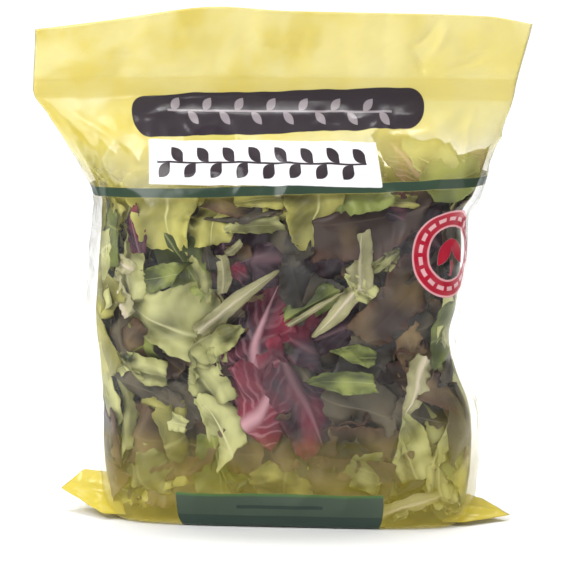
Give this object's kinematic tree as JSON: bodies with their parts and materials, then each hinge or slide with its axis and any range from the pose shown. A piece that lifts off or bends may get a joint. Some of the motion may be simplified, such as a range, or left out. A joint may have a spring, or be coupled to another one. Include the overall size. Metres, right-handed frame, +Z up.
{
  "type": "bag of salad leaves",
  "caption": "Sealed clear film bag of mixed salad leaves, standing on its folded-under base, with a flat pale yellow header and blank label fields",
  "frame": {"origin": "the middle of the bounding box's bottom, on the surface the bag stands on", "axes": "+Z is up from the base to the header's edge, +X is to the viewer's right along the header, and the printed front faces -Y"},
  "size_m": [0.2518, 0.092, 0.258],
  "materials": {
    "film": "thin cast film, glossy, clear with a pale yellow print",
    "leaves": "crisp fresh leaves, slightly waxy"
  },
  "bodies": {
    "root": {"salad_bag": "film"}
  },
  "joints": []
}
